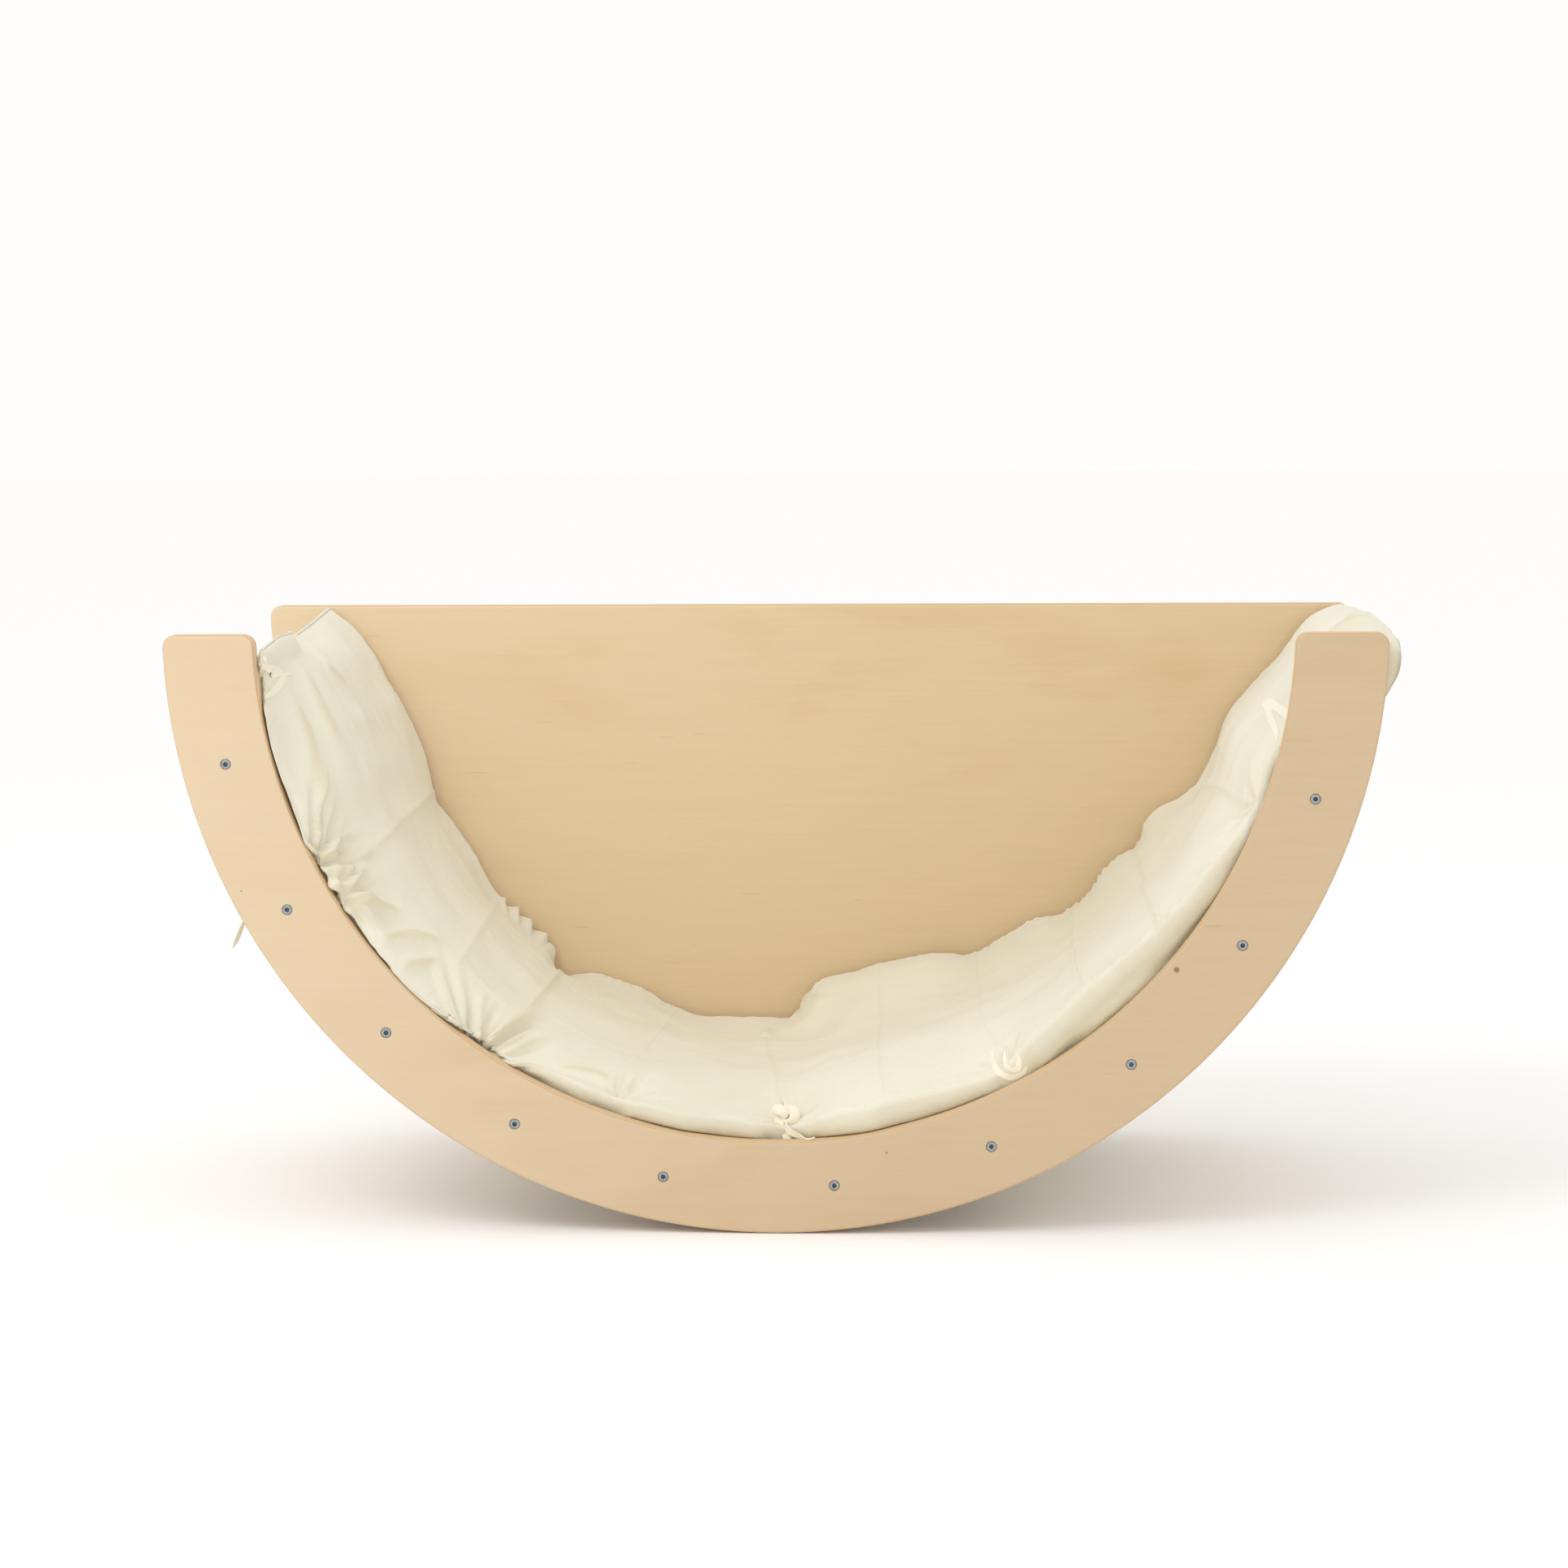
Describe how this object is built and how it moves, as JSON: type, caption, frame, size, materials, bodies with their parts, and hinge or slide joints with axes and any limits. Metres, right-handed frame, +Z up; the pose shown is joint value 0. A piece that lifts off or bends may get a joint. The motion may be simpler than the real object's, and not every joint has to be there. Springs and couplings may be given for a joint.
{
  "type": "rocking arch",
  "caption": "Large plywood rocking arch: an open half-ring side and a solid half-disc side joined by round rungs, with a padded cream cotton mat tied along the rungs.",
  "frame": {"origin": "on the floor under the lowest point of the rocking edges, midway between the two side panels; the mat's right end reaches past the panels, so the whole object's box centre is about 4 mm further along +X", "axes": "+X along the arch towards the mat's overhanging end, +Y from the open front panel to the solid back panel, +Z up"},
  "size_m": [1.0068, 0.45, 0.4923],
  "materials": {
    "birch_plywood": "satin",
    "birch_dowel": "satin",
    "screw_steel": "satin",
    "mat_filling": "matte",
    "mat_cotton": "matte",
    "tie_tape": "matte"
  },
  "bodies": {
    "root": {"front_panel": "birch_plywood", "back_panel": "birch_plywood", "rung_01": "birch_dowel", "rung_02": "birch_dowel", "rung_03": "birch_dowel", "rung_04": "birch_dowel", "rung_05": "birch_dowel", "rung_06": "birch_dowel", "rung_07": "birch_dowel", "rung_08": "birch_dowel", "rung_09": "birch_dowel", "rung_10": "birch_dowel", "front_screw_01": "screw_steel", "back_screw_01": "screw_steel", "front_screw_02": "screw_steel", "back_screw_02": "screw_steel", "front_screw_03": "screw_steel", "back_screw_03": "screw_steel", "front_screw_04": "screw_steel", "back_screw_04": "screw_steel", "front_screw_05": "screw_steel", "back_screw_05": "screw_steel", "front_screw_06": "screw_steel", "back_screw_06": "screw_steel", "front_screw_07": "screw_steel", "back_screw_07": "screw_steel", "front_screw_08": "screw_steel", "back_screw_08": "screw_steel", "front_screw_09": "screw_steel", "back_screw_09": "screw_steel", "front_screw_10": "screw_steel", "back_screw_10": "screw_steel", "mat_filling": "mat_filling", "mat_cover_top": "mat_cotton", "mat_cover_bottom": "mat_cotton", "mat_cover_front": "mat_cotton", "mat_cover_back": "mat_cotton", "mat_cover_left_end": "mat_cotton", "mat_cover_right_end": "mat_cotton", "front_tie_1": "tie_tape", "back_tie_1": "tie_tape", "front_tie_2": "tie_tape", "back_tie_2": "tie_tape", "front_tie_3": "tie_tape", "back_tie_3": "tie_tape", "front_tie_4": "tie_tape", "back_tie_4": "tie_tape", "front_tie_5": "tie_tape", "back_tie_5": "tie_tape", "front_tie_6": "tie_tape", "back_tie_6": "tie_tape"}
  },
  "joints": []
}
